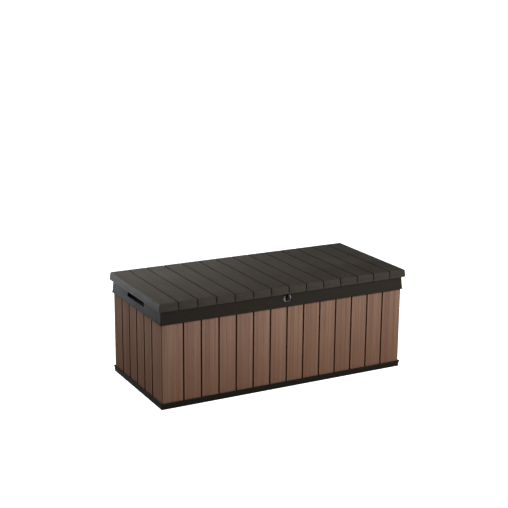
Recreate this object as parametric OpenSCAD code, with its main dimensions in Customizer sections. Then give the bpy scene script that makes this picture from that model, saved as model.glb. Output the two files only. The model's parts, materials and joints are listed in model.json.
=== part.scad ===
// Deck storage box: a resin chest with plank-look walls, a dark collar and base,
// a hinged lid on two gas struts, two side hand holds and a padlock eye.
// Millimetres. +Z is up, the front faces -Y, the origin is the middle of the footprint.

/* [Overall] */
// Height of the closed box
overall_h = 542; // [440:1:660]
// Distance from one groove between wall planks to the next
plank_pitch = 96; // [78:1:118]
// Width of the wider plank at each end of a long wall
corner_plank = 117; // [96:1:142]
// Width of the wider plank at each end of a short wall
side_corner_plank = 115; // [94:1:140]
// Number of planks on the long walls
front_planks = 14; // [10:2:16]
// Number of planks on the short walls
side_planks = 6; // [6:2:8]

/* [Walls] */
// Full depth of a wall panel, skin and ribs together
wall_t = 18; // [15:1:24]
// Thickness of the plank skin
skin_t = 3.5; // [3.5:0.5:5]
// Width of the groove between two planks at the surface
groove_w = 6; // [4:0.5:9]
// Depth of the groove between two planks
groove_d = 3; // [2:0.5:3.5]
// Thickness of the stiffening ribs
rib_t = 3; // [2:0.5:4]
// Open notch between two walls at each outside corner
corner_notch = 4.5; // [3:0.5:6]

/* [Base] */
// Height of the skirting round the foot of the box
base_h = 31; // [26:1:40]
// Level of the floor inside the box
floor_z = 16; // [14:1:20]
// Thickness of the floor and of the walls of the base
base_t = 4; // [3:0.5:5]
// How far the skirting stands out of the walls at its top edge
base_rim_out = 5; // [4:0.5:8]
// How far the skirting stands out of the walls at the ground
base_foot_out = 3; // [1:0.5:4]
// How far the lips of skirting and collar stand out of their faces
lip_out = 2; // [1:0.5:4]
// Height of the lips
lip_h = 5; // [3:0.5:8]

/* [Collar] */
// Height of collar that shows below the lid
collar_h = 68; // [60:1:90]
// How far the collar stands out of the walls at its bottom edge
collar_out_bottom = 6.5; // [5:0.5:9]
// How far the collar stands out of the walls at its top edge
collar_out_top = 0.5; // [0:0.5:2]
// Wall thickness of the hollow collar rails
rail_t = 3; // [2.5:0.5:4]

/* [Hand holds] */
// Length of the hand slot in each short rail
slot_len = 212; // [150:1:250]
// Height of the hand slot
slot_h = 22; // [20:1:26]
// Distance of the slot's lower edge below the lid
slot_drop = 34; // [32:1:37]
// Depth of the finger pocket behind the slot, from the face of the wall
pocket_depth = 40; // [34:1:41]

/* [Lid] */
// Height of the lid's edge
lid_h = 40; // [38:1:50]
// How far the lid stands out of the walls at its lower edge
lid_out = 16; // [15:0.5:20]
// How much narrower the lid is at its top, on each side
lid_draft = 3; // [1:0.5:4]
// Thickness of the lid's deck
deck_t = 5.5; // [5.5:0.5:9]
// Depth of the grooves across the lid
lid_groove_d = 3; // [2:0.5:4]
// Width of the grooves across the lid
lid_groove_w = 5; // [4:0.5:7]
// Height of plain edge below the grooves on the lid's front
lid_groove_stop = 10; // [6:1:14]
// How far the lid's edge reaches down over the collar
lid_overlap = 7; // [5:0.5:8]

/* [Hinge] */
// Height of the hinge line below the lower edge of the lid
hinge_drop = 7; // [7:0.5:9]
// Radius of the hinge pins
pin_r = 3; // [2:0.25:3.5]
// Radius of the hinge knuckles
knuckle_r = 5.5; // [5.5:0.25:6]
// Width of one hinge
hinge_w = 60; // [50:1:80]
// Distance between the middle hinge and each outer one
hinge_spacing = 480; // [300:5:520]

/* [Gas struts] */
// Distance from the hinge line to the strut's anchor on the lid
strut_reach = 250; // [235:5:290]
// Radius of the strut's tube
tube_r = 9; // [8:0.5:10]
// Radius of the strut's rod
rod_r = 4; // [3:0.25:5]
// Length of the strut's tube
tube_len = 240; // [232:1:243]
// Radius of the studs that the strut turns on
stud_r = 4; // [3:0.25:5]

/* [Padlock eye] */
// Width of the oval lock plate
plate_w = 51; // [44:1:60]
// Height of the oval lock plate
plate_h = 37; // [33:1:40]
// Radius of the hole for the padlock's shackle
shackle_r = 3.5; // [3:0.25:4]
// Width of the tongue that hangs from the lid
tongue_w = 10; // [8:0.5:12]
// Thickness of the two ears beside the tongue
ear_t = 3.5; // [3:0.25:4]
// Height of the two ears
ear_h = 29; // [24:1:30]

/* [Hidden] */
$fn = 48;
play = 0.3;                 // gap between pieces that are fitted by hand
running = 0.05;             // radial clearance of a pin in its bearing
half_w = (front_planks - 2) * plank_pitch / 2 + corner_plank;
half_d = (side_planks - 2) * plank_pitch / 2 + side_corner_plank;
lid_bottom = overall_h - lid_h;
collar_bottom = lid_bottom - collar_h;
collar_top = lid_bottom + lid_overlap;
lock_z = lid_bottom - 27;                  // middle of the lock plate
panel_top = lock_z - plate_h / 2 - 1.5;    // the walls end inside the collar, just under the lock
rail_in = wall_t + play + rail_t;          // inner face of a rail, measured in from the wall's face

lid_planks = front_planks;
lid_half_w = half_w + lid_out;
lid_half_d = half_d + lid_out;
lid_pitch = 2 * lid_half_w / lid_planks;
lid_round = 5;
skirt_side = 4;
skirt_front = 7;
lid_inner_w = lid_half_w - skirt_side;
lid_inner_d = lid_half_d - skirt_front;
deck_z = overall_h - deck_t;
liner_t = 2.5;
liner_z = collar_top + 5;
liner_top = liner_z + liner_t;
pad_h = 10;
foot_t = 3;                                // plates screwed under the liner
foot_z = liner_z - foot_t;

hinge_z = lid_bottom - hinge_drop;
hinge_y = half_d + collar_out(hinge_z) + knuckle_r + 0.8;
hinge_xs = [-hinge_spacing, 0, hinge_spacing];

anchor_z = liner_z - 13;                   // strut anchor on the lid
anchor_y = hinge_y - strut_reach;
lid_open = 80;                             // how far the lid opens, in degrees
strut_closed = 70;                         // angle from wall anchor to lid anchor about the hinge
strut_rad = norm([anchor_y - hinge_y, anchor_z - hinge_z]);
anchor_dir = atan2(anchor_z - hinge_z, anchor_y - hinge_y);
wall_anchor_y = hinge_y + strut_rad * cos(anchor_dir + strut_closed);
wall_anchor_z = hinge_z + strut_rad * sin(anchor_dir + strut_closed);
strut_len = 2 * strut_rad * sin(strut_closed / 2);
strut_lean = atan2(wall_anchor_y - anchor_y, anchor_z - wall_anchor_z);
strut_x = half_w - pocket_depth - 13.5;    // plane of the strut's axis
socket_half = 5.5;
socket_r = stud_r + 4;
tube_gap = 20;                             // from an anchor's centre to the end of the tube
tube_t = 1.2;
guide_h = 16;
lug_t = 5;

screw_r = 2;
screw_head_r = 4;

ear_gap = 0.6;
plate_y = half_d + 0.5;                    // front of the lock plate, measured forwards
bezel_y = half_d + collar_out(lock_z - plate_h / 2) + 0.8;
shackle_y = bezel_y + shackle_r + 0.7;
tongue_front = shackle_y + shackle_r + 2;
tongue_back = bezel_y + 0.5;
ear_r = shackle_r + 2;

beam_y = 160;
beam_w = 25;

// ---------- shared shapes ----------

// A [y, z] outline drawn out along X
module prism_x(outline, x0, x1) {
    translate([x0, 0, 0]) rotate([90, 0, 90]) linear_extrude(x1 - x0) polygon(outline);
}

// An [x, z] outline drawn out along Y
module prism_y(outline, y0, y1) {
    translate([0, y1, 0]) rotate([90, 0, 0]) linear_extrude(y1 - y0) polygon(outline);
}

// A box from its lowest to its highest corner
module block(low, high) {
    translate(low) cube(high - low);
}

// A cylinder along X between two places
module rod_x(x0, x1, r) {
    translate([x0, 0, 0]) rotate([0, 90, 0]) cylinder(h = x1 - x0, r = r);
}

// Puts a wall or rail that faces +Y on one side of the box
module facing(side) {
    turn = side == "back" ? 0 : side == "left" ? 90 : side == "front" ? 180 : -90;
    rotate([0, 0, turn]) children();
}

// Draws a left-hand piece on the right
module on_right() {
    mirror([1, 0, 0]) children();
}

function collar_out(z) = collar_out_top
    + (collar_out_bottom - collar_out_top) * (collar_top - z) / (collar_top - collar_bottom);

function groove_places(count, pitch) = [for (i = [1 : count - 1]) (i - count / 2) * pitch];

// ---------- base ----------

function base_outline(half) = [
    [-half - base_foot_out, 0], [half + base_foot_out, 0],
    [half + base_rim_out, base_h - lip_h], [half + base_rim_out + lip_out, base_h - lip_h],
    [half + base_rim_out + lip_out, base_h], [-half - base_rim_out - lip_out, base_h],
    [-half - base_rim_out - lip_out, base_h - lip_h], [-half - base_rim_out, base_h - lip_h]];

module base_tray() {
    color("#26221f") difference() {
        intersection() {
            prism_y(base_outline(half_w), -half_d - 20, half_d + 20);
            prism_x(base_outline(half_d), -half_w - 20, half_w + 20);
        }
        // channel for the walls and the well of the floor
        difference() {
            block([-half_w - play, -half_d - play, floor_z],
                  [half_w + play, half_d + play, base_h + 1]);
            difference() {
                block([-half_w + wall_t + play, -half_d + wall_t + play, 0],
                      [half_w - wall_t - play, half_d - wall_t - play, base_h]);
                block([-half_w + rail_in, -half_d + rail_in, floor_z],
                      [half_w - rail_in, half_d - rail_in, base_h + 2]);
            }
        }
        // hollow underside between its ribs
        base_cells();
    }
}

module base_cells() {
    cells_x = 8;
    cells_y = 4;
    edge = base_t;
    cell_w = (2 * (half_w - edge) - (cells_x - 1) * base_t) / cells_x;
    cell_d = (2 * (half_d - edge) - (cells_y - 1) * base_t) / cells_y;
    for (i = [0 : cells_x - 1]) for (j = [0 : cells_y - 1])
        translate([-half_w + edge + i * (cell_w + base_t),
                   -half_d + edge + j * (cell_d + base_t), -1])
            cube([cell_w, cell_d, floor_z - base_t + 1]);
}

// ---------- walls ----------

// Plan of one wall, its outer face on y = half, with grooves, ribs and pads behind the grooves
module wall_plan(half, half_len, count, rib_len) {
    grooves = groove_places(count, plank_pitch);
    skin_half = half_len - corner_notch;
    difference() {
        union() {
            translate([-skin_half, half - skin_t]) square([2 * skin_half, skin_t]);
            for (x = grooves) {
                translate([x - rib_t / 2, half - wall_t]) square([rib_t, wall_t - skin_t + 0.5]);
                translate([x - groove_w, half - skin_t - 2]) square([2 * groove_w, 2.5]);
            }
            for (s = [-1, 1])
                translate([s * (rib_len - rib_t / 2) - rib_t / 2, half - wall_t])
                    square([rib_t, wall_t - skin_t + 0.5]);
        }
        for (x = grooves)
            polygon([[x - groove_w / 2, half + 1], [x - groove_w / 2, half - 0.8],
                     [x - groove_w / 4, half - groove_d], [x + groove_w / 4, half - groove_d],
                     [x + groove_w / 2, half - 0.8], [x + groove_w / 2, half + 1]]);
    }
}

// Level bands that tie the ribs of a wall together
module wall_bands(half, rib_len) {
    span = panel_top - floor_z;
    for (z = [floor_z + base_h, floor_z + span / 3, floor_z + 2 * span / 3, panel_top - 8])
        block([-rib_len + 0.5, half - wall_t, z], [rib_len - 0.5, half - skin_t + 0.5, z + rib_t]);
}

module long_wall() {
    rib_len = half_w - wall_t - 0.5;
    translate([0, 0, floor_z]) linear_extrude(panel_top - floor_z)
        wall_plan(half_d, half_w, front_planks, rib_len);
    wall_bands(half_d, rib_len);
}

// A short wall also carries the corner posts and the pads for the struts
module short_wall(pad_side) {
    rib_len = half_d - wall_t;
    post = wall_t - skin_t;
    pad_near = (side_planks / 2 - 1) * plank_pitch;
    translate([0, 0, floor_z]) linear_extrude(panel_top - floor_z) {
        wall_plan(half_w, half_d, side_planks, rib_len);
        for (s = [-1, 1]) translate([s * (rib_len + post / 2), half_w - skin_t - post / 2])
            difference() {
                square([post, post], center = true);
                square([post - 2 * rib_t, post - 2 * rib_t], center = true);
            }
    }
    wall_bands(half_w, rib_len);
    difference() {
        block([min(pad_side * pad_near, pad_side * (rib_len - 1)), half_w - wall_t, wall_anchor_z - 32],
              [max(pad_side * pad_near, pad_side * (rib_len - 1)), half_w - wall_t + rib_t,
               wall_anchor_z + 32]);
        for (z = [-1, 1])
            translate([pad_side * wall_anchor_y, half_w - wall_t - 1, wall_anchor_z + z * 20])
                rotate([-90, 0, 0]) cylinder(h = rib_t + 2, r = screw_r + running);
    }
}

module front_panel() { color("#7a5c50") facing("front") long_wall(); }
module back_panel() { color("#7a5c50") facing("back") long_wall(); }
module left_panel() { color("#7a5c50") facing("left") short_wall(1); }
module right_panel() { color("#7a5c50") facing("right") short_wall(-1); }

// ---------- collar ----------

function rail_outline(half) = [
    [half + collar_out(collar_bottom) + lip_out, collar_bottom],
    [half + collar_out(collar_bottom + lip_h) + lip_out, collar_bottom + lip_h],
    [half + collar_out(collar_bottom + lip_h), collar_bottom + lip_h],
    [half + collar_out_top, collar_top],
    [half - rail_in, collar_top],
    [half - rail_in, panel_top - 16],
    [half - wall_t - play, panel_top - 16],
    [half - wall_t - play, panel_top + play],
    [half + collar_out(panel_top + play) - rail_t, panel_top + play],
    [half + collar_out(collar_bottom) - rail_t, collar_bottom]];

function rail_hollow(half) = [
    [half + collar_out(panel_top + rail_t) - rail_t, panel_top + rail_t + play],
    [half + collar_out(collar_top - rail_t) - rail_t, collar_top - rail_t],
    [half - rail_in + rail_t, collar_top - rail_t],
    [half - rail_in + rail_t, panel_top + rail_t + play]];

// One hollow rail that faces +Y, its ends cut at 45 degrees with a fine seam
module rail(half, half_len) {
    seam = 0.4;
    near = half - rail_in - 1;
    far = half + collar_out_bottom + lip_out + 1;
    shift = half_len - half - seam;
    intersection() {
        difference() {
            prism_x(rail_outline(half), -half_len - 20, half_len + 20);
            prism_x(rail_hollow(half), -half_len - 21, half_len + 21);
        }
        translate([0, 0, collar_bottom - 1]) linear_extrude(collar_top - collar_bottom + 2)
            polygon([[-near - shift, near], [near + shift, near],
                     [far + shift, far], [-far - shift, far]]);
    }
}

slot_z = lid_bottom - slot_drop;
pocket_low = slot_z - 3;
pocket_high = collar_top - 5.5;
pocket_half = slot_len / 2 + 9;

module short_rail() {
    difference() {
        rail(half_w, half_d);
        block([-slot_len / 2, half_w - rail_t, slot_z],
              [slot_len / 2, half_w + collar_out_bottom + 1, slot_z + slot_h]);
        block([-pocket_half - 0.2, half_w - rail_in - 1, pocket_low - 0.2],
              [pocket_half + 0.2, half_w - rail_in + rail_t + 1, pocket_high + 0.2]);
    }
}

module long_rail() { rail(half_d, half_w); }

module back_rail() {
    color("#332e29") facing("back") difference() {
        long_rail();
        for (x = hinge_xs) for (s = [-1, 1]) hinge_screw_at(x, s) screw_hole();
    }
}

module front_rail() {
    color("#332e29") difference() {
        facing("front") long_rail();
        translate([0, -half_d - 20, lock_z]) rotate([-90, 0, 0]) linear_extrude(20 + wall_t / 2)
            oval(plate_w + 2.6, plate_h + 2.6);
    }
}

module left_rail() { color("#332e29") facing("left") short_rail(); }
module right_rail() { color("#332e29") facing("right") short_rail(); }

// Inner face of the outer wall of a short rail
function rail_inside(z) = half_w + collar_out(z) - rail_t;

// Finger pocket behind the hand slot, open to the outside, with a lip inside the box
module handle_pocket() {
    wall = 2.5;
    lip = 5;
    back = half_w - pocket_depth;
    inside = half_w - rail_in;
    difference() {
        union() {
            prism_x([[back, pocket_low], [rail_inside(pocket_low) - 0.2, pocket_low],
                     [rail_inside(pocket_high) - 0.2, pocket_high], [back, pocket_high]],
                    -pocket_half, pocket_half);
            block([-pocket_half - lip, inside - wall, pocket_low - lip],
                  [pocket_half + lip, inside, pocket_high + lip]);
        }
        block([-pocket_half + wall, back + wall, pocket_low + wall],
              [pocket_half - wall, half_w + collar_out_bottom, pocket_high - wall]);
    }
}

module left_handle_pocket() { color("#1f1c1a") facing("left") handle_pocket(); }
module right_handle_pocket() { color("#1f1c1a") facing("right") handle_pocket(); }

// ---------- lid ----------

// Half of the lid's outline from its lower edge to its rounded top edge
function lid_side(half, cut) = concat(
    [[half - cut, lid_bottom]],
    [for (a = [0 : 22.5 : 90])
        [half - lid_draft - cut - lid_round + lid_round * cos(a),
         overall_h - cut - lid_round + lid_round * sin(a)]]);

function lid_outline(half, cut) = concat(
    lid_side(half, cut),
    [for (i = [len(lid_side(half, cut)) - 1 : -1 : 0])
        [-lid_side(half, cut)[i][0], lid_side(half, cut)[i][1]]]);

// The lid's solid outer form, taken in by cut on every outer face
module lid_form(cut) {
    intersection() {
        prism_y(lid_outline(lid_half_w, cut == 0 ? 0 : -20), -lid_half_d - 30, lid_half_d + 30);
        prism_x(lid_outline(lid_half_d, cut), -lid_half_w - 40, lid_half_w + 40);
        block([-lid_half_w - 30, -lid_half_d - 30, lid_bottom - 1],
              [lid_half_w + 30, lid_half_d + 30, overall_h - cut]);
    }
}

module lid_grooves() {
    difference() {
        for (x = groove_places(lid_planks, lid_pitch))
            block([x - lid_groove_w / 2, -lid_half_d - 5, lid_bottom + lid_groove_stop],
                  [x + lid_groove_w / 2, lid_half_d + 5, overall_h + 5]);
        lid_form(lid_groove_d);
    }
}

liner_screw_places = [for (x = [-0.95, -0.58, -0.19, 0.19, 0.58, 0.95]) for (s = [-1, 1])
    [x * lid_inner_w, s * (half_d - 17)]];

module lid_deck() {
    color("#453d36") difference() {
        union() {
            difference() {
                lid_form(0);
                block([-lid_inner_w, -lid_inner_d, lid_bottom - 2], [lid_inner_w, lid_inner_d, deck_z]);
            }
            for (p = liner_screw_places)
                translate([p[0], p[1], liner_top]) cylinder(h = deck_z - liner_top + 0.5, r = 5);
        }
        lid_grooves();
        for (p = liner_screw_places)
            translate([p[0], p[1], liner_top - 1]) cylinder(h = 14, r = screw_r + running);
    }
}

module lid_liner() {
    ribs_w = strut_x - 24;
    ribs_d = half_d - rail_in - 20;
    color("#2b2724") difference() {
        union() {
            block([-lid_inner_w + play, -lid_inner_d + play, liner_z],
                  [lid_inner_w - play, lid_inner_d - play, liner_top]);
            for (i = [-3 : 3]) block([i * ribs_w / 3 - rib_t / 2, -ribs_d, liner_z - 7],
                                     [i * ribs_w / 3 + rib_t / 2, ribs_d, liner_z + 0.5]);
            for (y = [-ribs_d, 0, ribs_d]) block([-ribs_w - rib_t / 2, y - rib_t / 2, liner_z - 7],
                                                 [ribs_w + rib_t / 2, y + rib_t / 2, liner_z + 0.5]);
            for (x = hinge_xs) translate([x, half_d - 12, liner_top - 0.5])
                linear_extrude(pad_h) square([hinge_w, 26], center = true);
            translate([0, -half_d + 12, liner_top - 0.5])
                linear_extrude(pad_h) square([44, 26], center = true);
            for (s = [-1, 1]) translate([s * (strut_x + 10), anchor_y, liner_top - 0.5])
                linear_extrude(pad_h) square([26, 60], center = true);
        }
        for (p = liner_screw_places)
            translate([p[0], p[1], liner_z - 1]) cylinder(h = liner_t + 2, r = screw_r + running);
        for (x = hinge_xs) leaf_screws_at(x) lid_screw_hole();
        tongue_screws_at() lid_screw_hole();
        for (s = [-1, 1]) strut_lid_screws_at(s) lid_screw_hole();
    }
}

// Hollow steel bar between the deck and its liner
module lid_beam(y) {
    color("silver") difference() {
        block([-half_w + 40, y - beam_w / 2, liner_top], [half_w - 40, y + beam_w / 2, deck_z]);
        block([-half_w + 39, y - beam_w / 2 + 1.5, liner_top + 1.5],
              [half_w - 39, y + beam_w / 2 - 1.5, deck_z - 1.5]);
    }
}

module lid_beam_front() { lid_beam(-beam_y); }
module lid_beam_rear() { lid_beam(beam_y); }

// Rubber stops on the collar that the closed lid comes down on
module lid_bumpers() {
    places = concat(
        [for (x = [-0.83, -0.3, 0.3, 0.83]) [x * half_w, -half_d + 10]],
        [for (s = [-1, 1]) [s * (half_w - 10), -half_d * 0.4]]);
    color("#141414") for (p = places)
        translate([p[0], p[1], collar_top]) cylinder(h = liner_z - collar_top - play, r = 7);
}

// ---------- hinges ----------

module screw_hole() { cylinder(h = 40, r = screw_r + running, center = true); }

// A place on the back rail, with +Z of the screw pointing out of the back
module hinge_screw_at(x, side) {
    translate([x + side * (hinge_w / 2 - 9), half_d, hinge_z - 18]) rotate([-90, 0, 0]) children();
}

// Bracket on the back rail with two outer knuckles
module hinge_bracket(x) {
    top = hinge_z + 6;
    low = hinge_z - 28;
    leaf_half = hinge_w / 5;
    out_top = half_d + collar_out(top);
    out_low = half_d + collar_out(low);
    color("#1f1c1a") translate([x, 0, 0]) difference() {
        union() {
            prism_x([[out_low, low], [out_low + 3, low], [out_top + 3, top - 6], [out_top, top]],
                    -hinge_w / 2, hinge_w / 2);
            prism_x([[half_d + collar_out(hinge_z - 12) + 1, hinge_z - 12], [hinge_y, hinge_z - knuckle_r],
                     [hinge_y, hinge_z + knuckle_r], [half_d + collar_out(hinge_z) + 1, hinge_z + 3]],
                    -hinge_w / 2, hinge_w / 2);
            translate([0, hinge_y, hinge_z]) rod_x(-hinge_w / 2, hinge_w / 2, knuckle_r);
        }
        translate([0, hinge_y, hinge_z]) rod_x(-hinge_w / 2 - 1, hinge_w / 2 + 1, pin_r + running);
        // room for the lid's knuckle
        block([-leaf_half - play, half_d, hinge_z - knuckle_r - 2],
              [leaf_half + play, hinge_y + knuckle_r + 2, top + 2]);
        for (s = [-1, 1]) translate([s * (hinge_w / 2 - 9), half_d, hinge_z - 18])
            rotate([-90, 0, 0]) screw_hole();
    }
}

// Leaf under the lid with one middle knuckle
module hinge_leaf(x) {
    leaf_half = hinge_w / 5;
    color("#1f1c1a") translate([x, 0, 0]) difference() {
        union() {
            translate([0, hinge_y, hinge_z]) rod_x(-leaf_half, leaf_half, knuckle_r);
            block([-leaf_half, hinge_y - 3, hinge_z], [leaf_half, lid_inner_d - play, liner_z]);
            block([-hinge_w / 2 + 2, half_d - 22, foot_z], [hinge_w / 2 - 2, lid_inner_d - play, liner_z]);
        }
        translate([0, hinge_y, hinge_z]) rod_x(-leaf_half - 1, leaf_half + 1, pin_r + 2 * running);
        translate([-x, 0, 0]) leaf_screws_at(x) lid_screw_hole();
    }
}

module hinge_pin(x) {
    color("silver") translate([x, hinge_y, hinge_z]) {
        rod_x(-hinge_w / 2 - 0.2, hinge_w / 2 + 3, pin_r);
        rod_x(-hinge_w / 2 - 2.5, -hinge_w / 2 - 0.2, pin_r + 1.2);
    }
}

module hinge_bracket_left() { hinge_bracket(hinge_xs[0]); }
module hinge_bracket_middle() { hinge_bracket(hinge_xs[1]); }
module hinge_bracket_right() { hinge_bracket(hinge_xs[2]); }
module hinge_leaf_left() { hinge_leaf(hinge_xs[0]); }
module hinge_leaf_middle() { hinge_leaf(hinge_xs[1]); }
module hinge_leaf_right() { hinge_leaf(hinge_xs[2]); }
module hinge_pin_left() { hinge_pin(hinge_xs[0]); }
module hinge_pin_middle() { hinge_pin(hinge_xs[1]); }
module hinge_pin_right() { hinge_pin(hinge_xs[2]); }

// ---------- gas struts, drawn on the left ----------

// Moves to the wall anchor and points +Z along the closed strut
module strut_frame() {
    translate([-strut_x, wall_anchor_y, wall_anchor_z]) rotate([strut_lean, 0, 0]) children();
}

module strut_tube() {
    top = strut_len - tube_gap;
    color("#101010") strut_frame() difference() {
        translate([0, 0, top - tube_len]) cylinder(h = tube_len, r = tube_r);
        translate([0, 0, top - tube_len - 1]) cylinder(h = tube_len - 2, r = tube_r - tube_t);
    }
}

// Bush that closes the tube round the rod
module strut_guide() {
    low = strut_len - tube_gap - tube_len;
    color("#202020") strut_frame() difference() {
        translate([0, 0, low]) cylinder(h = guide_h, r = tube_r - tube_t);
        translate([0, 0, low - 1]) cylinder(h = guide_h + 2, r = rod_r + running);
    }
}

module strut_socket(sense) {
    difference() {
        union() {
            rod_x(-socket_half, socket_half, socket_r);
            translate([0, 0, sense > 0 ? 4 : -tube_gap]) cylinder(h = tube_gap - 4, r = rod_r + 2);
        }
        rod_x(-socket_half - 1, socket_half + 1, stud_r + running);
    }
}

module strut_tube_socket() {
    color("#202020") strut_frame() translate([0, 0, strut_len]) strut_socket(-1);
}

module strut_rod_socket() {
    color("#202020") strut_frame() difference() {
        strut_socket(1);
        translate([0, 0, socket_r + 2]) cylinder(h = tube_gap, r = rod_r);
    }
}

rod_low = socket_r + 2;
piston_low = 2 * strut_rad * sin((strut_closed + lid_open) / 2) - tube_gap - tube_len + guide_h + 2;

module strut_rod() {
    color("silver") strut_frame() translate([0, 0, rod_low]) cylinder(h = piston_low - rod_low, r = rod_r);
}

module strut_piston() {
    color("#303030") strut_frame() translate([0, 0, piston_low])
        cylinder(h = 12, r = tube_r - tube_t - 0.2);
}

// Stud along X, headed past the socket
module strut_stud(x0, x1) {
    rod_x(x0, x1, stud_r);
    rod_x(x1, x1 + 1.5, stud_r + 1.5);
}

module strut_wall_bracket() {
    wall_x = -half_w + wall_t;
    color("#9a9a9a") difference() {
        union() {
            block([wall_x, wall_anchor_y - 13, wall_anchor_z - 29],
                  [wall_x + 3, wall_anchor_y + 13, wall_anchor_z + 29]);
            translate([0, wall_anchor_y, wall_anchor_z]) {
                rod_x(wall_x + 2, -strut_x - socket_half - 1, stud_r + 5);
                strut_stud(-strut_x - socket_half - 2, -strut_x + socket_half + 0.5);
            }
        }
        for (z = [-1, 1]) translate([wall_x, wall_anchor_y, wall_anchor_z + z * 20])
            rod_x(-5, 8, screw_r + running);
    }
}

module strut_lid_bracket() {
    lug_x = -strut_x - socket_half - 1;
    color("#9a9a9a") difference() {
        union() {
            block([-strut_x - 22, anchor_y - 28, foot_z], [-strut_x + 2, anchor_y + 28, liner_z]);
            prism_x([[anchor_y - stud_r - 3, anchor_z], [anchor_y + stud_r + 3, anchor_z],
                     [anchor_y + 14, foot_z + 1], [anchor_y - 14, foot_z + 1]], lug_x - lug_t, lug_x);
            translate([0, anchor_y, anchor_z]) {
                rod_x(lug_x - lug_t, lug_x, stud_r + 3);
                strut_stud(lug_x - 1, -strut_x + socket_half + 0.5);
            }
        }
        strut_lid_screws_at(-1) lid_screw_hole();
    }
}

module left_strut_tube() { strut_tube(); }
module left_strut_guide() { strut_guide(); }
module left_strut_tube_socket() { strut_tube_socket(); }
module left_strut_rod() { strut_rod(); }
module left_strut_piston() { strut_piston(); }
module left_strut_rod_socket() { strut_rod_socket(); }
module left_strut_wall_bracket() { strut_wall_bracket(); }
module left_strut_lid_bracket() { strut_lid_bracket(); }
module right_strut_tube() { on_right() strut_tube(); }
module right_strut_guide() { on_right() strut_guide(); }
module right_strut_tube_socket() { on_right() strut_tube_socket(); }
module right_strut_rod() { on_right() strut_rod(); }
module right_strut_piston() { on_right() strut_piston(); }
module right_strut_rod_socket() { on_right() strut_rod_socket(); }
module right_strut_wall_bracket() { on_right() strut_wall_bracket(); }
module right_strut_lid_bracket() { on_right() strut_lid_bracket(); }

// ---------- padlock eye ----------

module oval(w, h) {
    straight = (w - h) / 2;
    translate([-straight, 0]) circle(d = h);
    translate([straight, 0]) circle(d = h);
    square([2 * straight, h], center = true);
}

// Cup with a bezel in the front rail, and two ears for the shackle
module lock_housing() {
    color("#171513") difference() {
        union() {
            translate([0, -bezel_y, lock_z]) rotate([-90, 0, 0]) linear_extrude(bezel_y - plate_y + 5)
                difference() {
                    oval(plate_w + 2.2, plate_h + 2.2);
                    oval(plate_w - 1.8, plate_h - 1.8);
                }
            translate([0, -plate_y + 1.5, lock_z]) rotate([-90, 0, 0]) linear_extrude(3.5)
                oval(plate_w - 1, plate_h - 1);
            for (s = [-1, 1]) translate([s * (tongue_w / 2 + ear_gap + ear_t / 2), 0, 0]) {
                translate([0, -shackle_y, lock_z]) rod_x(-ear_t / 2, ear_t / 2, ear_r);
                prism_x([[-shackle_y, lock_z - ear_r], [-plate_y, lock_z - ear_h / 2],
                         [-plate_y + 3, lock_z - ear_h / 2], [-plate_y + 3, lock_z + ear_h / 2],
                         [-plate_y, lock_z + ear_h / 2], [-shackle_y, lock_z + ear_r]],
                        -ear_t / 2, ear_t / 2);
            }
        }
        translate([0, -shackle_y, lock_z]) rod_x(-20, 20, shackle_r);
    }
}

module lock_plate() {
    ear_slot = tongue_w + 2 * ear_gap + 2 * ear_t + 0.4;
    color("#b9b8b4") translate([0, -plate_y, lock_z]) rotate([-90, 0, 0]) linear_extrude(1.5)
        difference() {
            oval(plate_w - 1.8 - 0.2, plate_h - 1.8 - 0.2);
            square([ear_slot, ear_h + 0.4], center = true);
        }
}

module tongue_screws_at() {
    for (s = [-1, 1]) translate([s * 14, -half_d + 12, liner_z]) children();
}

module lock_tongue() {
    color("#171513") difference() {
        union() {
            block([-tongue_w / 2, -tongue_front, lock_z - shackle_r - 2.5],
                  [tongue_w / 2, -tongue_back, lid_bottom - 2]);
            block([-tongue_w / 2, -lid_inner_d + play, lid_bottom - 3],
                  [tongue_w / 2, -tongue_back, liner_z]);
            block([-20, -lid_inner_d + play, foot_z], [20, -half_d + 22, liner_z]);
        }
        translate([0, -shackle_y, lock_z]) rod_x(-20, 20, shackle_r);
        tongue_screws_at() lid_screw_hole();
    }
}

// ---------- screws ----------

// Hole and counterbore for a flat screw driven up into the lid
module lid_screw_hole() {
    translate([0, 0, -5]) cylinder(h = 30, r = screw_r + running);
    translate([0, 0, -foot_t - 5]) cylinder(h = 5 + 2, r = screw_head_r + running);
}

module lid_screw() {
    translate([0, 0, -foot_t]) cylinder(h = 2, r = screw_head_r);
    translate([0, 0, -foot_t + 1]) cylinder(h = foot_t + liner_t + pad_h - 3, r = screw_r);
}

// A pan head with its shank, standing on the face it clamps
module pan_screw(grip) {
    difference() {
        cylinder(h = 2.4, r = screw_head_r);
        translate([0, 0, 1.2]) for (a = [0, 90]) rotate([0, 0, a])
            translate([-2.2, -0.5, 0]) cube([4.4, 1, 2]);
    }
    translate([0, 0, -grip]) cylinder(h = grip + 0.5, r = screw_r);
}

module leaf_screws_at(x) {
    for (s = [-1, 1]) translate([x + s * (hinge_w / 2 - 9), half_d - 12, liner_z]) children();
}

module strut_lid_screws_at(side) {
    for (s = [-1, 1]) translate([side * (strut_x + 10), anchor_y + s * 21, liner_z]) children();
}

module hinge_bracket_screws() {
    color("silver") for (x = hinge_xs) for (s = [-1, 1])
        translate([x + s * (hinge_w / 2 - 9), half_d + collar_out(hinge_z - 22) + 3, hinge_z - 18])
            rotate([-90, 0, 0]) pan_screw(14);
}

module hinge_leaf_screws() { color("silver") for (x = hinge_xs) leaf_screws_at(x) lid_screw(); }
module strut_lid_screws() { color("silver") for (s = [-1, 1]) strut_lid_screws_at(s) lid_screw(); }
module lock_tongue_screws() { color("silver") tongue_screws_at() lid_screw(); }

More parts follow.
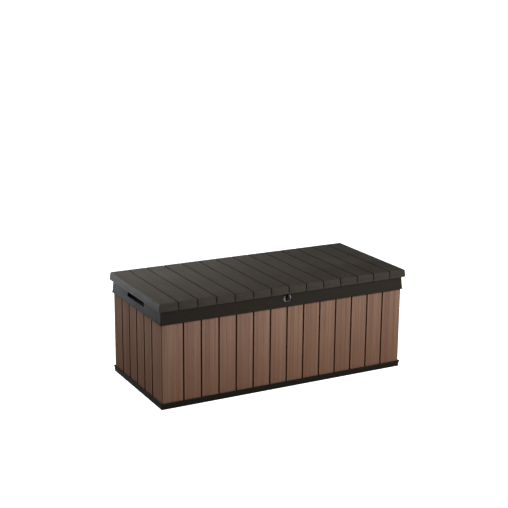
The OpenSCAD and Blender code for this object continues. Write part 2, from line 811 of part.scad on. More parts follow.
module liner_screws() {
    color("silver") for (p = liner_screw_places)
        translate([p[0], p[1], liner_z]) rotate([180, 0, 0]) pan_screw(14);
}

module strut_wall_screws() {
    color("silver") for (side = [-1, 1]) for (z = [-1, 1])
        translate([side * (half_w - wall_t - 3), wall_anchor_y, wall_anchor_z + z * 20])
            rotate([0, -side * 90, 0]) pan_screw(10);
}

// ---------- nodes ----------

base_tray();
front_panel();
back_panel();
left_panel();
right_panel();
front_rail();
back_rail();
left_rail();
right_rail();
left_handle_pocket();
right_handle_pocket();
lid_deck();
lid_liner();
lid_beam_front();
lid_beam_rear();
lid_bumpers();
hinge_bracket_left();
hinge_bracket_middle();
hinge_bracket_right();
hinge_leaf_left();
hinge_leaf_middle();
hinge_leaf_right();
hinge_pin_left();
hinge_pin_middle();
hinge_pin_right();
left_strut_tube();
left_strut_guide();
left_strut_tube_socket();
left_strut_rod();
left_strut_piston();
left_strut_rod_socket();
left_strut_wall_bracket();
left_strut_lid_bracket();
right_strut_tube();
right_strut_guide();
right_strut_tube_socket();
right_strut_rod();
right_strut_piston();
right_strut_rod_socket();
right_strut_wall_bracket();
right_strut_lid_bracket();
lock_housing();
lock_plate();
lock_tongue();
hinge_bracket_screws();
hinge_leaf_screws();
liner_screws();
strut_wall_screws();
strut_lid_screws();
lock_tongue_screws();
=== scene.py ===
"""Looks of the deck storage box: planked walls and lid, collar, base, lock and fittings."""

import json
from contextlib import contextmanager
from math import pi, radians

import bmesh
import bpy
from mathutils import Matrix, Vector


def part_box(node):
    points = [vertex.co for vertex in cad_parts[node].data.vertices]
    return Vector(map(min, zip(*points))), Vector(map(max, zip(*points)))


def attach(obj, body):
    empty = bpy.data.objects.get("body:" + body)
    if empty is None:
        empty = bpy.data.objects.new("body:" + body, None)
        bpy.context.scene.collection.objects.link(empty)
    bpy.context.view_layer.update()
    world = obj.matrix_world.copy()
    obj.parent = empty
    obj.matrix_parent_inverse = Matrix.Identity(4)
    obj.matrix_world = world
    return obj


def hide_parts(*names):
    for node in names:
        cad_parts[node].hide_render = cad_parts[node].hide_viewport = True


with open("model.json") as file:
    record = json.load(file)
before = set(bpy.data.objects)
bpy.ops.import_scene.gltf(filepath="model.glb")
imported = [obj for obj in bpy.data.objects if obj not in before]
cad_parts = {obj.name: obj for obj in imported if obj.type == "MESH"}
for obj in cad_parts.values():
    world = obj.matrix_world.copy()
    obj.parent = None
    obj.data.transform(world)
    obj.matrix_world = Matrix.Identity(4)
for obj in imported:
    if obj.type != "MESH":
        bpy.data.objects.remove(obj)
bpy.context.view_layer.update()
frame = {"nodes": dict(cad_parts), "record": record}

bl_info = {
    "name": "Deck Storage Box",
    "version": (1, 0, 0),
    "blender": (4, 5, 0),
    "location": "3D View > Sidebar > Deck Box",
    "description": "Models and finishes a resin deck storage box round its packed frame",
    "category": "Add Mesh",
}

MM = 0.001
SMOOTH_ANGLE = radians(35)
SHARP_ANGLE = radians(40)

# ---------- places taken from the frame, in metres ----------

FRONT_LOW, FRONT_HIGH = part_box("front_panel")
LEFT_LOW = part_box("left_panel")[0]
BASE_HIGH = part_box("base_tray")[1]
RAIL_LOW, RAIL_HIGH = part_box("front_rail")
LID_LOW, LID_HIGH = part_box("lid_deck")
LINER_LOW, LINER_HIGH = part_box("lid_liner")
BEAM_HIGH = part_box("lid_beam_front")[1]
PLATE_LOW, PLATE_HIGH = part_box("lock_plate")
TONGUE_LOW, TONGUE_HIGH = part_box("lock_tongue")
HOUSING_LOW, HOUSING_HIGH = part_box("lock_housing")
POCKET_LOW, POCKET_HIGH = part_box("left_handle_pocket")

HALF_W = -LEFT_LOW.x
HALF_D = -FRONT_LOW.y
WALL_T = FRONT_HIGH.y - FRONT_LOW.y
WALL_FOOT = FRONT_LOW.z
WALL_TOP = FRONT_HIGH.z
COLLAR_LOW = RAIL_LOW.z
COLLAR_TOP = RAIL_HIGH.z
RAIL_REACH = RAIL_HIGH.y + HALF_D
LOCK_Z = (PLATE_LOW.z + PLATE_HIGH.z) / 2


# ---------- sizes and colours a user may change ----------

def length(name, about, mm):
    """A length in metres, given in millimetres."""
    return bpy.props.FloatProperty(name=name, description=about, default=mm * MM, unit="LENGTH",
                                   precision=4)


def tint(name, about, rgb):
    """A linear colour."""
    return bpy.props.FloatVectorProperty(name=name, description=about, default=rgb, size=3,
                                         subtype="COLOR", min=0.0, max=1.0)


def count(name, about, number):
    """A whole number."""
    return bpy.props.IntProperty(name=name, description=about, default=number)


def angle(name, about, degrees):
    """An angle, given in degrees."""
    return bpy.props.FloatProperty(name=name, description=about, default=radians(degrees),
                                   subtype="ANGLE")


class DeckWallSizes(bpy.types.PropertyGroup):
    """Planked walls."""
    pitch: length("Plank pitch", "Distance from one groove to the next", 96)
    groove: length("Groove width", "Width of the groove between two planks", 7)
    depth: length("Groove depth", "Depth of the groove between two planks", 3)
    skin: length("Skin", "Thickness of the planked skin", 4)
    rib: length("Rib", "Thickness of the ribs inside the wall", 3)
    end_post: length("End post", "Width of the solid post at each end", 24)
    corner: length("Corner radius", "Radius of the upright corners of the box", 7)
    soft_edge: length("Plank edge", "Rounding of each plank's long edges", 2.2)
    seam: length("Corner seam", "Gap between two walls at a corner", 4)
    front_planks: count("Front planks", "Planks on a long wall", 14)
    side_planks: count("Side planks", "Planks on a short wall", 6)
    wood: tint("Wood", "Main colour of the planks", (0.335, 0.212, 0.156))
    wood_dark: tint("Dark grain", "Colour of the dark grain lines", (0.214, 0.127, 0.090))
    # Painted shade: the planks are darkened towards their foot.
    wood_foot_shade: tint("Foot of the planks", "Deeper colour towards the foot of the planks",
                   (0.170, 0.083, 0.050))
    # Painted shade down in the grooves.
    groove_shade: tint("Groove", "Colour down in the grooves", (0.030, 0.008, 0.004))


class DeckLidSizes(bpy.types.PropertyGroup):
    """Planked lid."""
    planks: count("Planks", "Planks across the lid", 14)
    draft: length("Draft", "How much narrower the lid is at its top, on each side", 3)
    side_edge: length("Side edge", "Radius of the top edge at the two ends", 9)
    edge: length("Front edge", "Radius of the edges round the front and back", 3.5)
    groove: length("Groove width", "Width of the grooves across the lid", 6)
    depth: length("Groove depth", "Depth of the grooves across the lid", 3)
    stop: length("Plain edge", "Height of plain edge below the grooves", 10)
    skirt: length("Skirt", "Thickness of the lid's skirt", 4)
    resin: tint("Resin", "Main colour of the lid", (0.038, 0.028, 0.017))
    resin_dark: tint("Dark grain", "Colour of the dark grain lines", (0.026, 0.019, 0.011))
    # Painted shade down in the grooves.
    groove_shade: tint("Groove", "Colour down in the grooves", (0.005, 0.004, 0.003))


class DeckTrimSizes(bpy.types.PropertyGroup):
    """Collar, base and lock."""
    collar_corner: length("Collar corner", "Radius of the collar's upright corners", 4)
    lip: length("Lip", "How far the lips stand out on collar and base", 2)
    lip_height: length("Lip height", "Height of the lips on collar and base", 5)
    base_draft: length("Base draft", "How much narrower the base is at the ground", 2)
    base_corner: length("Base corner", "Radius of the base's upright corners", 4)
    soft_edge: length("Soft edge", "Small rounding of the moulded edges", 1.0)
    collar_resin: tint("Collar", "Colour of the collar", (0.0145, 0.0098, 0.0042))
    base_resin: tint("Base", "Colour of the base", (0.010, 0.0075, 0.004))
    black_resin: tint("Black resin", "Colour of the fittings", (0.010, 0.010, 0.010))


class DeckStageSizes(bpy.types.PropertyGroup):
    """Camera and studio."""
    heading: angle("Heading", "Turn of the view from straight ahead, to the right", 28.17)
    tilt: angle("Tilt", "How far the camera looks down", 14.81)
    roll: angle("Roll", "Lean of the camera", 0.50)
    distance: length("Distance", "Distance from the camera to the point it looks at", 6231.5)
    lens: bpy.props.FloatProperty(name="Lens", description="Focal length in millimetres",
                                  default=83.34)
    aim: bpy.props.FloatVectorProperty(name="Aim", description="The point the camera looks at",
                                       default=(0.0198, 0.091, 0.608), size=3,
                                       subtype="TRANSLATION", unit="LENGTH")


# ---------- shaping ----------

def select_nothing():
    """Leaves object mode with nothing selected."""
    if bpy.context.mode != "OBJECT":
        bpy.ops.object.mode_set(mode="OBJECT")
    bpy.ops.object.select_all(action="DESELECT")


def take(piece):
    """Makes one piece the only selected and active object."""
    select_nothing()
    piece.select_set(True)
    bpy.context.view_layer.objects.active = piece


def settle(piece):
    """Writes the piece's place, turn and scale into its mesh."""
    take(piece)
    bpy.ops.object.transform_apply(location=True, rotation=True, scale=True)


def named(name, piece=None):
    """Names a piece and its mesh: the one that was just added, if none is given."""
    piece = piece or bpy.context.object
    piece.name = piece.data.name = name
    return piece


def add_block(name, low, high, add=bpy.ops.mesh.primitive_cube_add):
    """A block between two corners, or a flat sheet where they have the same height."""
    low, high = Vector(low), Vector(high)
    select_nothing()
    add(size=1, location=(low + high) / 2)
    piece = named(name)
    piece.scale = [side or 1 for side in high - low]
    settle(piece)
    return piece


def add_round(name, centre, radius, depth, turn, sides):
    """A cylinder about a centre, turned from upright."""
    select_nothing()
    bpy.ops.mesh.primitive_cylinder_add(vertices=sides, radius=radius, depth=depth,
                                        location=centre, rotation=turn)
    piece = named(name)
    settle(piece)
    return piece


@contextmanager
def shaping(piece):
    """Edit mode on one piece."""
    take(piece)
    bpy.ops.object.mode_set(mode="EDIT")
    yield
    bpy.ops.object.mode_set(mode="OBJECT")


def pick_all():
    """Selects the whole mesh."""
    bpy.ops.mesh.select_all(action="SELECT")


def pick(piece, kind, passes):
    """Selects only the faces or the edges that pass."""
    bpy.ops.mesh.select_mode(type=kind)
    bpy.ops.mesh.select_all(action="DESELECT")
    mesh = bmesh.from_edit_mesh(piece.data)
    for part in mesh.faces if kind == "FACE" else mesh.edges:
        part.select_set(bool(passes(part)))
    bmesh.update_edit_mesh(piece.data)


def pick_faces(piece, test):
    """Selects the faces whose centre and normal pass the test."""
    pick(piece, "FACE", lambda face: test(face.calc_center_median(), face.normal))


def pick_edges(piece, test):
    """Selects the edges whose two ends pass the test."""
    pick(piece, "EDGE", lambda edge: test(edge.verts[0].co, edge.verts[1].co))


def cut(point, normal, **how):
    """Cuts what is selected along a plane."""
    bpy.ops.mesh.bisect(plane_co=point, plane_no=normal, **how)


def cut_all(point, normal, **how):
    """Cuts the whole mesh along a plane."""
    pick_all()
    cut(point, normal, **how)


def push(offset):
    """Extrudes the selected faces by an offset."""
    bpy.ops.mesh.extrude_region_move(TRANSFORM_OT_translate={"value": offset})


def spread(was, now):
    """Scales what is selected about the middle of the box, from one half size to another."""
    bpy.ops.transform.resize(value=(now[0] / was[0], now[1] / was[1], 1), center_override=(0, 0, 0))


def round_edges(radius, segments):
    """Rounds the selected edges."""
    bpy.ops.mesh.bevel(offset=radius, segments=segments, affect="EDGES")


def near(a, b):
    """True where two lengths are the same."""
    return abs(a - b) < 0.02 * MM


def upright(a, b):
    """True for an edge that stands up."""
    return near(a.x, b.x) and near(a.y, b.y)


def corner_edge(a, b):
    """True for an edge that stands at an outer corner of the box, straight or leaning."""
    return (not near(a.z, b.z) and min(abs(a.x), abs(b.x)) > HALF_W
            and min(abs(a.y), abs(b.y)) > HALF_D)


def faces_up(c, n):
    """True for a level face that looks up."""
    return n.z > 0.9


def on_side(c, n):
    """True for a face that stands."""
    return abs(n.z) < 0.5


def on_ground(c, n):
    """True for the face that the box stands on."""
    return n.z < -0.9 and near(c.z, 0)


def tidy(piece):
    """Merges doubles, turns the faces outwards and smooths the shading."""
    with shaping(piece):
        pick_all()
        bpy.ops.mesh.remove_doubles(threshold=0.01 * MM)
        bpy.ops.mesh.normals_make_consistent(inside=False)
    take(piece)
    bpy.ops.object.shade_smooth_by_angle(angle=SMOOTH_ANGLE)


def apply_modifier(piece, name, kind, **settings):
    """Adds a modifier with its settings, and applies it."""
    take(piece)
    modifier = piece.modifiers.new(name, kind)
    for setting, value in settings.items():
        setattr(modifier, setting, value)
    bpy.ops.object.modifier_apply(modifier=modifier.name)


def apply_bevel(piece, width, segments=2):
    """Rounds every sharp edge of a piece."""
    apply_modifier(piece, "Soft edges", "BEVEL", width=width, segments=segments,
                   limit_method="ANGLE", angle_limit=SHARP_ANGLE, miter_outer="MITER_ARC")


def carve(piece, *cutters):
    """Cuts the cutters' shapes out of the piece, and removes the cutters."""
    for cutter in cutters:
        apply_modifier(piece, "Carve", "BOOLEAN", object=cutter, operation="DIFFERENCE",
                       solver="EXACT")
        bpy.data.objects.remove(cutter)


def copy_piece(piece, name):
    """A copy with its own mesh."""
    twin = piece.copy()
    twin.data = piece.data.copy()
    bpy.context.collection.objects.link(twin)
    return named(name, twin)


def dress(piece, material):
    """Gives the whole piece one material."""
    piece.data.materials.clear()
    piece.data.materials.append(material)


# ---------- shader node groups ----------

class Wires:
    """Adds and joins nodes in one tree."""

    def __init__(self, tree):
        self.tree = tree

    def feed(self, socket, value):
        """Links a socket to this one, or sets its value. A colour gets full alpha."""
        if isinstance(value, bpy.types.NodeSocket):
            self.tree.links.new(value, socket)
        elif value is not None:
            socket.default_value = (*value, 1.0) if socket.type == "RGBA" else value

    def add(self, kind, values=(), **settings):
        """Adds a node, makes its settings and feeds its sockets, in order or by key."""
        node = self.tree.nodes.new("ShaderNode" + kind)
        for name, setting in settings.items():
            setattr(node, name, setting)
        for key, value in values.items() if isinstance(values, dict) else enumerate(values):
            self.feed(node.inputs[key], value)
        return node

    def math(self, operation, *values):
        return self.add("Math", values, operation=operation).outputs[0]

    def noise(self, vector, scale, detail, roughness=0.55):
        return self.add("TexNoise", {"Vector": vector, "Scale": scale, "Detail": detail,
                                     "Roughness": roughness}).outputs["Fac"]

    def band(self, value, low, high, out_low=0.0, out_high=1.0):
        """A smooth step from one value to another, between two limits."""
        return self.add("MapRange", (value, low, high, out_low, out_high),
                        interpolation_type="SMOOTHSTEP").outputs[0]

    def blend(self, amount, a, b, mode="MIX"):
        """A mix of two colours, whose sockets are the seventh and eighth."""
        return self.add("Mix", {0: amount, 6: a, 7: b}, data_type="RGBA",
                        blend_type=mode).outputs[2]

    def split(self, vector):
        return self.add("SeparateXYZ", (vector,)).outputs

    def thrice(self, value):
        """A vector with the same value three times."""
        return self.add("CombineXYZ", (value, value, value)).outputs[0]

    def object_place(self):
        """The point on the piece, in metres."""
        return self.add("TexCoord").outputs["Object"]

    def own_normal(self):
        return self.add("NewGeometry").outputs["Normal"]

    def bump(self, height, strength, distance, normal=None):
        return self.add("Bump", {"Height": height, "Strength": strength, "Distance": distance,
                                 "Normal": normal}).outputs[0]

    def group(self, name, **values):
        """A shared effect, with an underscore for each space in its sockets' names."""
        return self.add("Group", {key.replace("_", " "): value for key, value in values.items()},
                        node_tree=shared_group(name)).outputs


def group_with(name, inputs, outputs):
    """The wires of a new node group, the sockets it reads and the ones it fills."""
    tree = bpy.data.node_groups.new(name, "ShaderNodeTree")
    for kind, socket, value in inputs:
        item = tree.interface.new_socket(socket, in_out="INPUT", socket_type="NodeSocket" + kind)
        item.default_value = value
    for socket in outputs:
        tree.interface.new_socket(socket, in_out="OUTPUT", socket_type="NodeSocketFloat")
    return (Wires(tree), tree.nodes.new("NodeGroupInput").outputs,
            tree.nodes.new("NodeGroupOutput").inputs)


def make_grain_group():
    """Moulded wood grain: long fine streaks with a few broader figures."""
    w, given, result = group_with(
        "Moulded grain",
        [("Vector", "Place", (0, 0, 0)), ("Vector", "Stretch", (1, 1, 1)), ("Float", "Shift", 0.0)],
        ["Streaks", "Figure", "Height"])
    wander = w.noise(given["Place"], 9.0, 2.0)
    drawn = w.add("VectorMath", (given["Place"], given["Stretch"]), operation="MULTIPLY").outputs[0]
    shift = w.math("MULTIPLY_ADD", wander, 0.8, given["Shift"])
    moved = w.add("VectorMath", (drawn, w.thrice(shift)), operation="ADD").outputs[0]
    fine, broad, hair = (w.noise(moved, scale, 2.0, 0.5) for scale in (1.0, 0.30, 3.0))
    streaks = w.math("ADD", w.math("MULTIPLY", fine, 0.6), w.math("MULTIPLY", hair, 0.4))
    w.feed(result["Streaks"], w.band(streaks, 0.36, 0.64))
    w.feed(result["Figure"], w.band(broad, 0.34, 0.66))
    w.feed(result["Height"], w.band(streaks, 0.30, 0.62))
    return w.tree


def make_plank_group():
    """One random tone for each plank, and masks of painted groove shade and plank-edge highlight.
    """
    w, given, result = group_with(
        "Plank tone",
        [("Float", "Across", 0.0), ("Float", "Pitch", 0.1), ("Float", "Planks", 14.0),
         ("Float", "Groove width", 0.006)],
        ["Tone", "Groove", "Edge highlight", "Number"])
    half = w.math("MULTIPLY", given["Planks"], 0.5)
    steps = w.math("DIVIDE", given["Across"], given["Pitch"])
    plank = w.math("MAXIMUM", w.math("FLOOR", steps), w.math("MULTIPLY", half, -1.0))
    plank = w.math("MINIMUM", plank, w.math("SUBTRACT", half, 1.0))
    tone = w.add("TexWhiteNoise", {"W": w.math("ADD", plank, 0.37)}, noise_dimensions="1D")
    line = w.math("ROUND", steps)
    away = w.math("MULTIPLY", w.math("SUBTRACT", steps, line), given["Pitch"])
    inside = w.math("LESS_THAN", w.math("ABSOLUTE", line), w.math("SUBTRACT", half, 0.5))
    past = w.math("DIVIDE", away, w.math("MULTIPLY", given["Groove width"], 0.5))
    # Mask for the painted shade in the grooves.
    groove = w.band(w.math("ABSOLUTE", past), 1.05, 1.35, 1.0, 0.0)
    # Painted highlight mask: a band along one side of each groove.
    edge = w.math("MULTIPLY", w.band(past, 1.3, 1.6), w.band(past, 2.2, 4.0, 1.0, 0.0))
    w.feed(result["Tone"], tone.outputs["Value"])
    w.feed(result["Groove"], w.math("MULTIPLY", groove, inside))
    w.feed(result["Edge highlight"], w.math("MULTIPLY", edge, inside))
    w.feed(result["Number"], plank)
    return w.tree


def make_wear_group():
    """Rubbed edges, where a normal rounded over the edge leaves the surface's own."""
    w, given, result = group_with(
        "Rubbed edges",
        [("Vector", "Place", (0, 0, 0)), ("Float", "Amount", 0.5), ("Float", "Reach", 0.002)],
        ["Wear"])
    rounded = w.add("Bevel", {"Radius": given["Reach"]}).outputs["Normal"]
    match = w.add("VectorMath", (rounded, w.own_normal()), operation="DOT_PRODUCT").outputs["Value"]
    broken = w.band(w.noise(given["Place"], 60.0, 3.0), 0.35, 0.65)
    wear = w.math("MULTIPLY", w.band(match, 0.985, 0.85), w.math("MULTIPLY_ADD", broken, 0.6, 0.4))
    w.feed(result["Wear"], w.math("MULTIPLY", wear, given["Amount"]))
    return w.tree


def make_weather_group():
    """Faint dust that lies on level faces, and soft cloudy stains."""
    w, given, result = group_with(
        "Weathering", [("Vector", "Place", (0, 0, 0)), ("Float", "Dust", 0.2)],
        ["Dust", "Clouds", "Speckle"])
    clouds = w.noise(given["Place"], 5.0, 4.0, 0.6)
    level = w.band(w.split(w.own_normal())["Z"], 0.5, 1.0)
    lying = w.math("MULTIPLY", level, w.band(clouds, 0.35, 0.75))
    w.feed(result["Dust"], w.math("MULTIPLY", lying, given["Dust"]))
    w.feed(result["Clouds"], w.band(clouds, 0.3, 0.7))
    w.feed(result["Speckle"], w.noise(given["Place"], 900.0, 2.0, 0.5))
    return w.tree


def shared_group(name):
    """A node group, made the first time it is asked for."""
    makers = {"Moulded grain": make_grain_group, "Plank tone": make_plank_group,
              "Rubbed edges": make_wear_group, "Weathering": make_weather_group}
    return bpy.data.node_groups.get(name) or makers[name]()


# ---------- materials ----------

def blank_material(name):
    """A material, the wires of its tree and the sockets of its shader."""
    material = bpy.data.materials.new(name)
    material.use_nodes = True
    return material, Wires(material.node_tree), material.node_tree.nodes["Principled BSDF"].inputs


class Coat(Wires):
    """A material in the making: its grain, its weathering and its colour so far."""

    def __init__(self, name, dust, rubbed):
        self.material, wires, self.shader = blank_material(name)
        super().__init__(wires.tree)
        self.place = self.object_place()
        self.weather = self.group("Weathering", Place=self.place, Dust=dust)
        self.wear = self.group("Rubbed edges", Place=self.place, Amount=rubbed)["Wear"]

    def draw_grain(self, lengths, shift=0.0):
        """Draws the grain, given how long its figures are along each axis."""
        self.grain = self.group("Moulded grain", Place=self.place, Shift=shift,
                                Stretch=[1 / each for each in lengths])

    def start(self, rgb, shade):
        """The first colour, under a mask of light and dark."""
        self.colour = self.blend(1.0, rgb, self.thrice(shade), "MULTIPLY")

    def cover(self, mask, rgb):
        """Lays a colour over, where the mask is bright."""
        self.colour = self.blend(mask, self.colour, rgb)

    def age(self, worn, dust):
        """Rubs the edges, and lays dust on the level faces."""
        self.cover(self.wear, worn)
        self.cover(self.weather["Dust"], dust)

    def paint_shadow_below(self, edge):
        """Painted shadow: a dark band on the last few millimetres below an overhanging edge."""
        self.cover(self.band(self.split(self.place)["Z"], edge - 9 * MM, edge - 2 * MM, 0.0, 0.8),
                   (0.004, 0.003, 0.002))

    def done(self, rough, streaked, clouded, specular, relief, speckle=None):
        """Joins all to the shader. Relief and speckle are each a strength and a depth."""
        rough = self.math("MULTIPLY_ADD", self.weather["Clouds"], clouded, rough)
        rough = self.math("MULTIPLY_ADD", self.grain["Streaks"], streaked, rough)
        normal = self.bump(self.grain["Height"], *relief)
        if speckle:
            normal = self.bump(self.weather["Speckle"], *speckle, normal)
        self.shader["Specular IOR Level"].default_value = specular
        self.feed(self.shader["Base Color"], self.colour)
        self.feed(self.shader["Roughness"], rough)
        self.feed(self.shader["Normal"], normal)
        return self.material


def plank_coat(name, across, along, dark, light, pitch, planks, groove):
    """Moulded planks: across and along are the axes over and along the planks."""
    coat = Coat(name, 0.12, 0.35)
    tone = coat.group("Plank tone", Across=coat.split(coat.place)[across], Pitch=pitch,
                      Planks=float(planks), Groove_width=groove)
    figure = 4 * MM
    coat.draw_grain([110 * figure if axis == along else figure for axis in "XYZ"],
                    coat.math("MULTIPLY", tone["Number"], 7.3))
    lines = coat.math("MULTIPLY_ADD", coat.grain["Streaks"], 0.55,
                      coat.math("MULTIPLY", coat.grain["Figure"], 0.45))
    shade = coat.math("MULTIPLY", coat.math("MULTIPLY_ADD", tone["Tone"], 0.14, 0.93),
                      coat.math("MULTIPLY_ADD", coat.weather["Clouds"], 0.05, 0.975))
    coat.start(coat.blend(lines, dark, light), shade)
    return coat, tone


def wall_material(name, across):
    """Brown wood-look resin with its planks counted along one axis."""
    walls = bpy.context.scene.deck_walls
    # On the short walls the painted groove shade is 1.4 times as wide as the groove.
    planks, groove = ((walls.front_planks, walls.groove) if across == "X"
                      else (walls.side_planks, 1.4 * walls.groove))
    coat, tone = plank_coat(name, across, "Z", walls.wood_dark, walls.wood, walls.pitch, planks,
                            groove)
    # Painted highlight: lighter brown along one edge of each plank.
    coat.cover(coat.math("MULTIPLY", tone["Edge highlight"], 0.55), (0.37, 0.25, 0.19))
    # Painted shade: the colour deepens towards the foot of the walls.
    foot_shade_mask = coat.band(coat.split(coat.place)["Z"], WALL_FOOT, WALL_TOP, 0.60, 0.0)
    coat.cover(foot_shade_mask, walls.wood_foot_shade)
    coat.age((0.38, 0.27, 0.21), (0.42, 0.38, 0.34))
    # Painted shade in the grooves.
    coat.cover(tone["Groove"], walls.groove_shade)
    # Painted shadow below the collar's lip.
    coat.paint_shadow_below(COLLAR_LOW)
    return coat.done(0.82, 0.10, 0.06, 0.02, (0.45, 0.5 * MM), (0.10, 0.15 * MM))


def lid_material(name):
    """Dark grey-brown wood-look resin, its planks running front to back."""
    lid = bpy.context.scene.deck_lid
    pitch = (LID_HIGH.x - LID_LOW.x) / lid.planks
    coat, tone = plank_coat(name, "X", "Y", lid.resin_dark, lid.resin, pitch, lid.planks,
                            lid.groove)
    coat.age((0.11, 0.10, 0.09), (0.16, 0.15, 0.14))
    # Painted shade in the grooves.
    coat.cover(tone["Groove"], lid.groove_shade)
    return coat.done(0.50, 0.12, 0.08, 0.30, (0.40, 0.5 * MM), (0.12, 0.15 * MM))


def resin_material(name, rgb, rough, relief, worn, under=None):
    """Dark moulded resin: fine upright texture, rubbed edges, a little dust, painted shadow under
    an edge.
    """
    coat = Coat(name, 0.15, 0.5)
    coat.draw_grain((3.2 * MM, 3.2 * MM, 120 * MM))
    stain = coat.math("MULTIPLY_ADD", coat.weather["Clouds"], 0.16, 0.62)
    coat.start(rgb, coat.math("MULTIPLY_ADD", coat.grain["Streaks"], 0.55, stain))
    coat.age(worn, (0.17, 0.16, 0.15))
    # Painted shadow below an overhanging edge, where one is given.
    if under:
        coat.paint_shadow_below(under)
    return coat.done(rough, 0.08, 0.10, 0.20, (relief, 0.35 * MM), (0.15, 0.12 * MM))


def metal_material(name, rgb, rough, brushed, worn, quality, amount):
    """Metal or paint with fine brushing along X, smudges, and a colour for its rubbed edges."""
    coat = Coat(name, 0.05, 0.7)
    coat.draw_grain((12 * MM, 0.4 * MM, 0.4 * MM))
    coat.start(rgb, coat.math("MULTIPLY_ADD", coat.grain["Streaks"], brushed, 1.0 - brushed * 0.6))
    coat.age(worn, (0.3, 0.29, 0.27))
    coat.shader[quality].default_value = amount
    return coat.done(rough, 0.10, 0.12, 0.5, (brushed * 0.5, 0.05 * MM))


def finish(name):
    """A finish by name, made the first time it is asked for."""
    trim = bpy.context.scene.deck_trim
    steel, rod, grey = (0.31, 0.31, 0.30), (0.74, 0.74, 0.75), (0.10, 0.095, 0.09)
    makers = {
        "Long wall": (wall_material, "X"),
        "Short wall": (wall_material, "Y"),
        "Lid resin": (lid_material,),
        # The collar gets a painted shadow below the lid's lower edge.
        "Collar resin": (resin_material, trim.collar_resin, 0.50, 0.35, grey, LID_LOW.z),
        "Base resin": (resin_material, trim.base_resin, 0.85, 0.35, grey),
        "Black resin": (resin_material, trim.black_resin, 0.42, 0.2, grey),
        "Rubber": (resin_material, (0.012, 0.012, 0.012), 0.75, 0.1, (0.05, 0.05, 0.05)),
        "Satin steel": (metal_material, steel, 0.36, 0.25, steel, "Metallic", 1.0),
        "Polished rod": (metal_material, rod, 0.10, 0.06, rod, "Metallic", 1.0),
        "Strut paint": (metal_material, (0.012, 0.012, 0.013), 0.30, 0.15, (0.09, 0.09, 0.09),
                        "Coat Weight", 0.15),
    }
    make, *values = makers[name]
    return bpy.data.materials.get(name) or make(name, *values)


# ---------- walls ----------

def groove_lines(planks, pitch):
    """The places of the grooves between the planks, from the middle of the box."""
    return [(i - planks / 2) * pitch for i in range(1, planks)]


def in_groove(x, lines, width):
    """True where x is within the width of one of the grooves."""
    return any(abs(x - line) < width / 2 for line in lines)


def build_wall(name, half, half_len, planks):
    """A planked wall that faces -Y: a plan of planks and ribs, raised to its height."""
    sizes = bpy.context.scene.deck_walls
    face = -half
    post = half_len - sizes.end_post
    lines = groove_lines(planks, sizes.pitch)
    wall = add_block(name, (-half_len, face, WALL_FOOT), (half_len, face + WALL_T, WALL_FOOT),
                     bpy.ops.mesh.primitive_plane_add)

    with shaping(wall):
        for line in lines:
            for width in (sizes.groove, sizes.rib):
                for side in (-1, 1):
                    cut_all((line + side * width / 2, 0, 0), (1, 0, 0))
        for side in (-1, 1):
            cut_all((side * post, 0, 0), (1, 0, 0))
        for depth in (sizes.depth, sizes.skin):
            pick_faces(wall, lambda c, n: abs(c.x) < post)
            cut((0, face + depth, 0), (0, 1, 0))
        pick_faces(wall, lambda c, n: abs(c.x) < post and (
            (c.y < face + sizes.depth and in_groove(c.x, lines, sizes.groove))
            or (c.y > face + sizes.skin and not in_groove(c.x, lines, sizes.rib))))
        bpy.ops.mesh.delete(type="FACE")
        pick_all()
        bpy.ops.mesh.dissolve_limited(angle_limit=radians(1))
        pick_all()
        push((0, 0, WALL_TOP - WALL_FOOT))
        pick_all()
        bpy.ops.mesh.normals_make_consistent(inside=False)
        pick_edges(wall, lambda a, b: upright(a, b) and near(a.y, face)
                   and near(abs(a.x), half_len))
        round_edges(sizes.corner, 7)
        pick_edges(wall, lambda a, b: upright(a, b) and near(a.y, face)
                   and in_groove(a.x, lines, sizes.groove + MM))
        round_edges(sizes.soft_edge, 3)
        for side in (-1, 1):
            cut_all((side * (half_len - sizes.seam / 2), face, 0), (side, 1, 0),
                    clear_outer=True, use_fill=True)
    tidy(wall)
    return wall


class DECKBOX_OT_walls(bpy.types.Operator):
    """Model the four planked walls"""
    bl_idname = "deckbox.walls"
    bl_label = "Walls"

    def execute(self, context):
        sizes = context.scene.deck_walls
        front = build_wall("front_wall", HALF_D, HALF_W, sizes.front_planks)
        left = build_wall("left_wall", HALF_W, HALF_D, sizes.side_planks)
        walls = {
            "front_panel": (front, 0, "Long wall"),
            "back_panel": (copy_piece(front, "back_wall"), 180, "Long wall"),
            "left_panel": (left, -90, "Short wall"),
            "right_panel": (copy_piece(left, "right_wall"), 90, "Short wall"),
        }
        for node, (wall, turn, look) in walls.items():
            wall.rotation_euler = (0, 0, radians(turn))
            settle(wall)
            dress(wall, finish(look))
            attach(wall, "box")
            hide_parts(node)
        return {"FINISHED"}


# ---------- collar ----------

def add_post_block(name, half_w, half_d, low, high, radius):
    """A block about the middle of the box, with its upright corners rounded."""
    block = add_block(name, (-half_w, -half_d, low), (half_w, half_d, high))
    with shaping(block):
        pick_edges(block, upright)
        round_edges(radius, 6)
    return block


